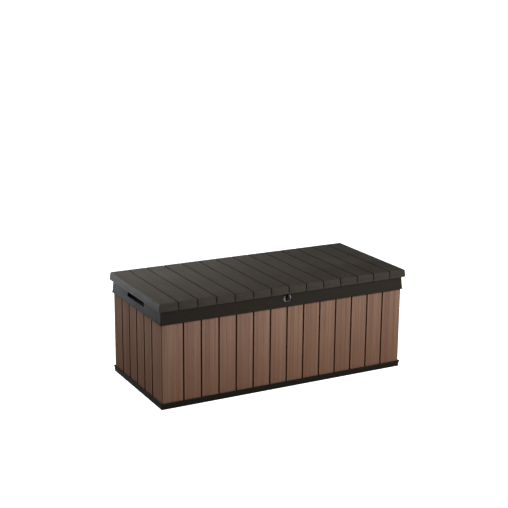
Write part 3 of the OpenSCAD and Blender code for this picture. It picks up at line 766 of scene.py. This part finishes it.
def build_collar():
    """The whole collar as one ring, before it is sawn into four rails."""
    trim = bpy.context.scene.deck_trim
    foot = (-RAIL_LOW.x - trim.lip, -RAIL_LOW.y - trim.lip)
    lip = (-RAIL_LOW.x, -RAIL_LOW.y)
    top = (HALF_W + 0.5 * MM, HALF_D + 0.5 * MM)
    collar = add_block("collar", (-foot[0], -foot[1], COLLAR_LOW), (foot[0], foot[1], COLLAR_TOP))
    with shaping(collar):
        pick_faces(collar, faces_up)
        spread(foot, top)
        pick_faces(collar, on_side)
        cut((0, 0, COLLAR_LOW + trim.lip_height), (0, 0, 1))
        pick_faces(collar, lambda c, n: on_side(c, n) and c.z < COLLAR_LOW + trim.lip_height)
        push((0, 0, 0))
        spread(foot, lip)
        pick_edges(collar, corner_edge)
        round_edges(trim.collar_corner, 4)
    gap, over = 0.5 * MM, 5 * MM
    around_walls = add_post_block("around_walls", HALF_W + gap, HALF_D + gap, COLLAR_LOW - over,
                                  WALL_TOP + gap, 2 * MM)
    mouth = add_post_block("mouth", HALF_W - RAIL_REACH, HALF_D - RAIL_REACH,
                           COLLAR_LOW - 6 * MM, COLLAR_TOP + over, 6 * MM)
    carve(collar, around_walls, mouth)
    return collar


def slot_cutters(side):
    """The cutters of one hand slot: the opening and the room for its pocket."""
    inner, margin = HALF_W - RAIL_REACH - 4 * MM, 4.7 * MM

    def through(name, outer, half, low, high):
        x = sorted((side * inner, side * outer))
        return add_block(name, (x[0], -half, low), (x[1], half, high))

    opening = through("opening", outer=HALF_W + 12 * MM, half=106 * MM,
                      low=POCKET_LOW.z + 8 * MM, high=POCKET_LOW.z + 30 * MM)
    with shaping(opening):
        pick_edges(opening, lambda a, b: near(a.y, b.y) and near(a.z, b.z))
        round_edges(4 * MM, 4)
    return opening, through("room", outer=HALF_W - 2.4 * MM, half=115.3 * MM,
                            low=POCKET_LOW.z + margin, high=POCKET_HIGH.z - margin)


def shackle_bore(x, y, length):
    """The cutter of the shackle's hole, along X."""
    return add_round("bore", (x, y, LOCK_Z), 3.5 * MM, length, (0, pi / 2, 0), 48)


def stadium(name, width, height, y_front, y_back):
    """An upright oval slab that faces -Y, at the lock."""
    slab = add_round(name, (0, (y_front + y_back) / 2, LOCK_Z), height / 2, y_back - y_front,
                     (pi / 2, 0, 0), 64)
    shift = (width - height) / 2
    with shaping(slab):
        for side in (-1, 1):
            pick_faces(slab, lambda c, n: abs(n.y) < 0.5 and c.x * side > 0)
            bpy.ops.transform.translate(value=(side * shift, 0, 0))
    return slab


class DECKBOX_OT_collar(bpy.types.Operator):
    """Model the four rails of the collar"""
    bl_idname = "deckbox.collar"
    bl_label = "Collar"

    def execute(self, context):
        trim = context.scene.deck_trim
        collar = build_collar()
        for side in (-1, 1):
            carve(collar, *slot_cutters(side))
        width = HOUSING_HIGH.x - HOUSING_LOW.x + 0.4 * MM
        height = PLATE_HIGH.z - PLATE_LOW.z + 4.6 * MM
        carve(collar, stadium("lock_room", width, height, -HALF_D - 20 * MM, -HALF_D + 8 * MM))
        tidy(collar)
        apply_bevel(collar, trim.soft_edge)
        seam = 0.2 * MM
        for node, facing in (("front_rail", (0, -1)), ("back_rail", (0, 1)),
                             ("left_rail", (-1, 0)), ("right_rail", (1, 0))):
            rail = copy_piece(collar, node.replace("rail", "collar"))
            along = Vector((facing[1], -facing[0], 0))
            out = Vector((*facing, 0))
            corner = abs(out.x) * HALF_W + abs(out.y) * HALF_D
            reach = abs(along.x) * HALF_W + abs(along.y) * HALF_D
            with shaping(rail):
                cut_all((0, 0, 0), out, clear_inner=True, use_fill=True)
                for side in (-1, 1):
                    cut_all(out * corner + along * side * (reach - seam), along * side - out,
                            clear_outer=True, use_fill=True)
            tidy(rail)
            dress(rail, finish("Collar resin"))
            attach(rail, "box")
            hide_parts(node)
        bpy.data.objects.remove(collar)
        return {"FINISHED"}


# ---------- base ----------

class DECKBOX_OT_base(bpy.types.Operator):
    """Model the base tray with its skirting, floor and ribbed underside"""
    bl_idname = "deckbox.base"
    bl_label = "Base"

    def execute(self, context):
        trim = context.scene.deck_trim
        rim = (BASE_HIGH.x - trim.lip, BASE_HIGH.y - trim.lip)
        foot = (rim[0] - trim.base_draft, rim[1] - trim.base_draft)
        base = add_block("base", (-rim[0], -rim[1], 0), (rim[0], rim[1], BASE_HIGH.z))
        with shaping(base):
            pick_faces(base, lambda c, n: n.z < -0.9)
            spread(rim, foot)
            pick_faces(base, on_side)
            cut((0, 0, BASE_HIGH.z - trim.lip_height), (0, 0, 1))
            pick_faces(base, lambda c, n: on_side(c, n) and c.z > BASE_HIGH.z - trim.lip_height)
            push((0, 0, 0))
            spread(rim, (BASE_HIGH.x, BASE_HIGH.y))
            self.sink_channel(base)
            self.press_floor(base)
            self.hollow_underside(base)
            pick_edges(base, corner_edge)
            round_edges(trim.base_corner, 4)
        tidy(base)
        apply_bevel(base, trim.soft_edge)
        tidy(base)
        dress(base, finish("Base resin"))
        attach(base, "box")
        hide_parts("base_tray")
        return {"FINISHED"}

    def sink_channel(self, base):
        """The channel that the walls stand in, with an upstand behind them."""
        lip = 3 * MM
        pick_faces(base, lambda c, n: n.z > 0.9 and near(c.z, BASE_HIGH.z) and near(c.x, 0)
                   and near(c.y, 0))
        bpy.ops.mesh.inset(thickness=BASE_HIGH.x - HALF_W - 0.4 * MM)
        push((0, 0, WALL_FOOT - BASE_HIGH.z))
        bpy.ops.mesh.inset(thickness=WALL_T + 0.8 * MM)
        bpy.ops.mesh.inset(thickness=lip)
        inner_w = HALF_W - WALL_T - lip
        inner_d = HALF_D - WALL_T - lip
        pick_faces(base, lambda c, n: n.z > 0.9 and near(c.z, WALL_FOOT)
                   and (inner_w < abs(c.x) < inner_w + lip or inner_d < abs(c.y) < inner_d + lip))
        push((0, 0, BASE_HIGH.z - WALL_FOOT))

    def press_floor(self, base):
        """Raised panels on the floor inside."""
        pitch = 160 * MM

        def on_floor(c, n):
            return (n.z > 0.9 and near(c.z, WALL_FOOT)
                    and abs(c.x) < HALF_W - 40 * MM and abs(c.y) < HALF_D - 40 * MM)

        for i in range(-4, 5):
            pick_faces(base, on_floor)
            cut((i * pitch, 0, 0), (1, 0, 0))
        pick_faces(base, on_floor)
        cut((0, 0, 0), (0, 1, 0))
        pick_faces(base, on_floor)
        bpy.ops.mesh.inset(thickness=9 * MM, use_individual=True)
        push((0, 0, 1.5 * MM))

    def hollow_underside(self, base):
        """Cells between the ribs below the floor."""
        for cells, half, axis in ((8, HALF_W, Vector((1, 0, 0))), (4, HALF_D, Vector((0, 1, 0)))):
            for i in range(1, cells):
                pick_faces(base, on_ground)
                cut(axis * ((2 * i / cells - 1) * half), axis)
        pick_faces(base, on_ground)
        bpy.ops.mesh.inset(thickness=3 * MM, use_individual=True)
        push((0, 0, WALL_FOOT - 4 * MM))


# ---------- lid ----------

class DECKBOX_OT_lid(bpy.types.Operator):
    """Model the planked deck of the lid"""
    bl_idname = "deckbox.lid"
    bl_label = "Lid"

    def execute(self, context):
        sizes = context.scene.deck_lid
        half_w, half_d = LID_HIGH.x, LID_HIGH.y
        low, top = LID_LOW.z, LID_HIGH.z
        inner_d = LINER_HIGH.y + 0.3 * MM
        crown, face = top - 12 * MM, half_d - 6 * MM
        lines = groove_lines(sizes.planks, 2 * half_w / sizes.planks)
        lid = add_block("lid_planks", (-half_w, -half_d, low), (half_w, half_d, top))

        def on_end(v):
            return near(abs(v.y), half_d - sizes.draft * (v.z - low) / (top - low))

        def on_face(c, n):
            return abs(c.y) > face and abs(n.y) > 0.5

        def outside(c, n):
            return c.z > crown and n.z > 0.05 or on_face(c, n)

        with shaping(lid):
            pick_faces(lid, faces_up)
            spread((half_w, half_d), (half_w - sizes.draft, half_d - sizes.draft))
            pick_edges(lid, lambda a, b: near(a.z, top) and near(b.z, top) and near(a.x, b.x))
            round_edges(sizes.side_edge, 6)
            pick_edges(lid, lambda a, b: on_end(a) and on_end(b) and a.y * b.y > 0
                       and not (near(a.z, low) and near(b.z, low)))
            round_edges(sizes.edge, 4)
            pick_faces(lid, lambda c, n: n.z < -0.9 and near(c.z, low))
            bpy.ops.mesh.inset(thickness=sizes.skirt)
            spread((half_w, half_d - sizes.skirt), (half_w, inner_d))
            push((0, 0, BEAM_HIGH.z - low))
            for line in lines:
                for side in (-1, 1):
                    pick_faces(lid, outside)
                    cut((line + side * sizes.groove / 2, 0, 0), (1, 0, 0))
            pick_faces(lid, on_face)
            cut((0, 0, low + sizes.stop), (0, 0, 1))
            pick_faces(lid, lambda c, n: outside(c, n) and c.z > low + sizes.stop
                       and in_groove(c.x, lines, sizes.groove))
            bpy.ops.mesh.extrude_region_shrink_fatten(
                TRANSFORM_OT_shrink_fatten={"value": -sizes.depth})
        tidy(lid)
        apply_bevel(lid, 0.9 * MM)
        tidy(lid)
        dress(lid, finish("Lid resin"))
        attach(lid, "lid")
        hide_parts("lid_deck")
        return {"FINISHED"}


# ---------- lock ----------

class DECKBOX_OT_lock(bpy.types.Operator):
    """Model the lock: its cup, steel plate, two ears and the tongue on the lid"""
    bl_idname = "deckbox.lock"
    bl_label = "Lock"

    def execute(self, context):
        mounts = {mount["name"]: mount for mount in frame["record"]["mounts"]}
        eye_y = mounts["padlock_hole"]["pos_m"][1]
        cup = self.build_cup()
        plate = self.build_plate()
        ears = self.build_ears(eye_y)
        tongue = self.build_tongue(eye_y)
        for piece, body, slot, look in (
                (cup, "box", "black_resin", "Black resin"), (plate, "box", "steel", "Satin steel"),
                (ears, "box", "black_resin", "Black resin"),
                (tongue, "lid", "black_resin", "Black resin")):
            tidy(piece)
            dress(piece, finish(look))
            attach(piece, body)
        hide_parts("lock_housing")
        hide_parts("lock_plate")
        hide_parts("lock_tongue")
        return {"FINISHED"}

    def build_cup(self):
        """Oval cup with a rounded rim."""
        width = HOUSING_HIGH.x - HOUSING_LOW.x
        height = PLATE_HIGH.z - PLATE_LOW.z + 4.2 * MM
        rim_y, floor_y = -HALF_D - 5.3 * MM, PLATE_HIGH.y
        cup = stadium("lock_cup", width, height, rim_y, floor_y + 3.5 * MM)
        with shaping(cup):
            pick_faces(cup, lambda c, n: n.y < -0.9)
            bpy.ops.mesh.inset(thickness=2.0 * MM)
            push((0, floor_y - rim_y, 0))
            pick_edges(cup, lambda a, b: near(a.y, rim_y) and near(b.y, rim_y))
            round_edges(0.8 * MM, 3)
        return cup

    def build_plate(self):
        """Steel plate with softened edges and a slot for the ears."""
        plate = stadium("lock_face", PLATE_HIGH.x - PLATE_LOW.x, PLATE_HIGH.z - PLATE_LOW.z,
                        PLATE_LOW.y, PLATE_HIGH.y)
        half_w, half_h = 9.4 * MM, 14.8 * MM
        carve(plate, add_block("slot", (-half_w, PLATE_LOW.y - MM, LOCK_Z - half_h),
                               (half_w, PLATE_HIGH.y + MM, LOCK_Z + half_h)))
        apply_bevel(plate, 0.5 * MM, 3)
        return plate

    def build_ears(self, eye_y):
        """Two tall ears with the hole for a shackle, made once and copied."""
        ear_t, gap, radius, reach = 3.5 * MM, 5.6 * MM, 5.5 * MM, 14.5 * MM
        tip = eye_y - radius
        ear = add_block("lock_ears", (gap, tip, LOCK_Z - reach),
                        (gap + ear_t, PLATE_HIGH.y + MM, LOCK_Z + reach))
        with shaping(ear):
            pick_faces(ear, lambda c, n: n.y < -0.9)
            bpy.ops.transform.resize(value=(1, 1, radius / reach), center_override=(0, 0, LOCK_Z))
            pick_edges(ear, lambda a, b: near(a.y, tip) and near(b.y, tip) and near(a.z, b.z))
            round_edges(4 * MM, 6)
        carve(ear, shackle_bore(gap + ear_t / 2, eye_y, 3 * ear_t))
        apply_bevel(ear, 0.4 * MM)
        twin = copy_piece(ear, "ear_twin")
        take(twin)
        bpy.ops.transform.translate(value=(-2 * gap - ear_t, 0, 0))
        settle(twin)
        take(ear)
        twin.select_set(True)
        bpy.ops.object.join()
        return ear

    def build_tongue(self, eye_y):
        """Tongue that hangs from the lid between the ears."""
        half, back, head_t, head_reach = 5 * MM, -HALF_D - 5.9 * MM, 3 * MM, 15 * MM
        bottom, shoulder = LOCK_Z - 6 * MM, LID_LOW.z - 2 * MM
        tongue = add_block("lock_tongue_moulding", (-half, TONGUE_LOW.y, bottom),
                           (half, back, shoulder))
        with shaping(tongue):
            pick_faces(tongue, faces_up)
            cut((0, LINER_LOW.y, 0), (0, 1, 0))
            pick_faces(tongue, lambda c, n: n.z > 0.9 and c.y > LINER_LOW.y)
            push((0, 0, TONGUE_HIGH.z - head_t - shoulder))
            push((0, 0, head_t))
            in_head = TONGUE_HIGH.z - 2.9 * MM
            for side in (-1, 1):
                pick_faces(tongue, lambda c, n: c.z > in_head and n.x * side > 0.9)
                push((side * head_reach, 0, 0))
            pick_faces(tongue, lambda c, n: c.z > in_head and n.y > 0.9)
            push((0, TONGUE_HIGH.y - back, 0))
            pick_edges(tongue, lambda a, b: near(a.y, b.y) and near(a.z, b.z)
                       and near(a.z, bottom))
            round_edges(2.8 * MM, 4)
        carve(tongue, shackle_bore(0, eye_y, 30 * MM))
        apply_bevel(tongue, 0.5 * MM)
        return tongue


# ---------- fittings ----------

SIDES = ("left", "right")
HINGES = ("left", "middle", "right")

# body, finish and rounding in millimetres of each fitting with softened edges
SOFTENED = {
    **{f"{side}_handle_pocket": ("box", "Black resin", 0.8) for side in SIDES},
    **{f"hinge_bracket_{place}": ("box", "Black resin", 0.6) for place in HINGES},
    **{f"hinge_leaf_{place}": ("lid", "Black resin", 0.6) for place in HINGES},
    **{f"{side}_strut_wall_bracket": ("box", "Satin steel", 0.5) for side in SIDES},
    **{f"{side}_strut_lid_bracket": ("lid", "Satin steel", 0.5) for side in SIDES},
}

# fittings shown as they are in the frame, by finish
KEPT = {
    "Satin steel": ["lid_beam_front", "lid_beam_rear", *(f"hinge_pin_{place}" for place in HINGES),
                    "hinge_bracket_screws", "hinge_leaf_screws", "liner_screws",
                    "strut_wall_screws", "strut_lid_screws", "lock_tongue_screws"],
    "Strut paint": [f"{side}_strut_{part}" for part in ("tube", "guide", "piston")
                    for side in SIDES],
    "Polished rod": [f"{side}_strut_rod" for side in SIDES],
    "Black resin": ["lid_liner",
                    *(f"{side}_strut_{end}_socket" for end in ("tube", "rod") for side in SIDES)],
    "Rubber": ["lid_bumpers"],
}


class DECKBOX_OT_fittings(bpy.types.Operator):
    """Soften the edges of the moulded and pressed fittings, and finish the turned ones"""
    bl_idname = "deckbox.fittings"
    bl_label = "Fittings"

    def execute(self, context):
        for node, (body, look, radius) in SOFTENED.items():
            piece = copy_piece(frame["nodes"][node], node + "_softened")
            piece.parent = None
            for key in list(piece.keys()):
                del piece[key]
            with shaping(piece):
                pick_all()
                bpy.ops.mesh.remove_doubles(threshold=0.005 * MM)
                bpy.ops.mesh.dissolve_limited(angle_limit=radians(2))
            apply_bevel(piece, radius * MM)
            tidy(piece)
            dress(piece, finish(look))
            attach(piece, body)
            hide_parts(node)
        for look, nodes in KEPT.items():
            for node in nodes:
                for place in frame["nodes"][node].material_slots:
                    place.material = finish(look)
        return {"FINISHED"}


# ---------- stage ----------

class DECKBOX_OT_stage(bpy.types.Operator):
    """Set up the pale floor, the soft studio light and the camera"""
    bl_idname = "deckbox.stage"
    bl_label = "Stage"

    def execute(self, context):
        self.lay_floor()
        self.light_room(context.scene)
        self.set_camera(context.scene)
        context.scene.view_settings.view_transform = "Standard"
        return {"FINISHED"}

    def lay_floor(self):
        """A wide pale floor with a faint cloudy tone."""
        select_nothing()
        bpy.ops.mesh.primitive_plane_add(size=160, location=(0, 0, -0.0005))
        floor = named("studio_floor")
        material, w, shader = blank_material("Studio floor")
        path = w.add("LightPath").outputs
        pale = w.blend(w.noise(w.object_place(), 0.8, 2.0), (0.90, 0.90, 0.90), (0.93, 0.93, 0.93))
        glow = w.math("MULTIPLY_ADD", path["Is Camera Ray"], 1.2,
                      w.math("MULTIPLY", path["Is Glossy Ray"], 0.92))
        for socket, value in (
                ("Base Color", w.blend(path["Is Glossy Ray"], pale, (0.06, 0.06, 0.06))),
                ("Roughness", 0.9), ("Specular IOR Level", 0.0),
                ("Emission Color", (0.90, 0.95, 1.0)), ("Emission Strength", glow)):
            w.feed(shader[socket], value)
        dress(floor, material)

    def light_room(self, scene):
        """White surroundings, with large soft panels."""
        world = bpy.data.worlds.new("Studio")
        world.use_nodes = True
        w = Wires(world.node_tree)
        seen = w.tree.nodes["Background"]
        w.feed(seen.inputs["Color"], (1, 1, 1))
        w.feed(seen.inputs["Strength"], 1.0)
        lit = w.add("Background", {"Color": (0.96, 0.98, 1.0), "Strength": 0.16})
        mix = w.add("MixShader", (w.add("LightPath").outputs["Is Camera Ray"], lit.outputs[0],
                                  seen.outputs[0]))
        w.feed(w.tree.nodes["World Output"].inputs["Surface"], mix.outputs[0])
        scene.world = world
        for name, place, size, power, rgb, diffuse in (
                ("key_panel", (3.4, -3.9, 2.8), 2.6, 196, (1.0, 0.97, 0.93), True),
                ("top_panel", (-1.6, 0.6, 3.2), 3.0, 44, (1.0, 0.99, 0.97), True),
                ("side_gloss_panel", (-2.3, 3.4, 0.6), 2.4, 86, (0.86, 0.93, 1.0), False),
                ("edge_gloss_panel", (-2.2, 5.1, 3.2), 1.6, 50, (1.0, 0.96, 0.92), False),
                ("top_gloss_panel", (1.4, 6.5, 2.7), 2.6, 38, (1.0, 0.94, 0.86), False)):
            light = bpy.data.lights.new(name, "AREA")
            light.energy = power
            light.color = rgb
            light.size = size
            lamp = bpy.data.objects.new(name, light)
            lamp.visible_diffuse = diffuse
            scene.collection.objects.link(lamp)
            lamp.location = place
            aim = Vector((0, 0, 0.3)) - Vector(place)
            lamp.rotation_euler = aim.to_track_quat("-Z", "Y").to_euler()

    def set_camera(self, scene):
        """A long lens, looking down on the front left corner."""
        view = scene.deck_stage
        camera = bpy.data.objects.new("camera", bpy.data.cameras.new("camera"))
        scene.collection.objects.link(camera)
        camera.data.lens = view.lens
        camera.data.sensor_width = 36.0
        camera.data.clip_end = 100.0
        turn = (Matrix.Rotation(-view.heading, 4, "Z") @ Matrix.Rotation(pi / 2 - view.tilt, 4, "X")
                @ Matrix.Rotation(view.roll, 4, "Z"))
        back = turn @ Vector((0, 0, view.distance))
        camera.matrix_world = Matrix.Translation(Vector(view.aim) + back) @ turn
        scene.camera = camera


# ---------- panel and registration ----------

STEPS = ("walls", "collar", "base", "lid", "lock", "fittings", "stage")


class DECKBOX_PT_panel(bpy.types.Panel):
    """Lists the steps and the sizes"""
    bl_label = "Deck Box"
    bl_idname = "DECKBOX_PT_panel"
    bl_space_type = "VIEW_3D"
    bl_region_type = "UI"
    bl_category = "Deck Box"

    def draw(self, context):
        for step in STEPS:
            self.layout.operator("deckbox." + step)
        for group in SIZE_GROUPS:
            sizes = getattr(context.scene, group)
            box = self.layout.box()
            box.label(text=type(sizes).__doc__)
            for name in type(sizes).__annotations__:
                box.prop(sizes, name)


SIZE_GROUPS = {"deck_walls": DeckWallSizes, "deck_lid": DeckLidSizes, "deck_trim": DeckTrimSizes,
               "deck_stage": DeckStageSizes}
CLASSES = (*SIZE_GROUPS.values(), DECKBOX_OT_walls, DECKBOX_OT_collar, DECKBOX_OT_base,
           DECKBOX_OT_lid, DECKBOX_OT_lock, DECKBOX_OT_fittings, DECKBOX_OT_stage, DECKBOX_PT_panel)


def register():
    for item in CLASSES:
        bpy.utils.register_class(item)
    for name, group in SIZE_GROUPS.items():
        setattr(bpy.types.Scene, name, bpy.props.PointerProperty(type=group))


def unregister():
    for name in SIZE_GROUPS:
        delattr(bpy.types.Scene, name)
    for item in reversed(CLASSES):
        bpy.utils.unregister_class(item)


def main():
    """Builds everything in order."""
    register()
    for step in STEPS:
        getattr(bpy.ops.deckbox, step)()


if __name__ == "__main__":
    main()
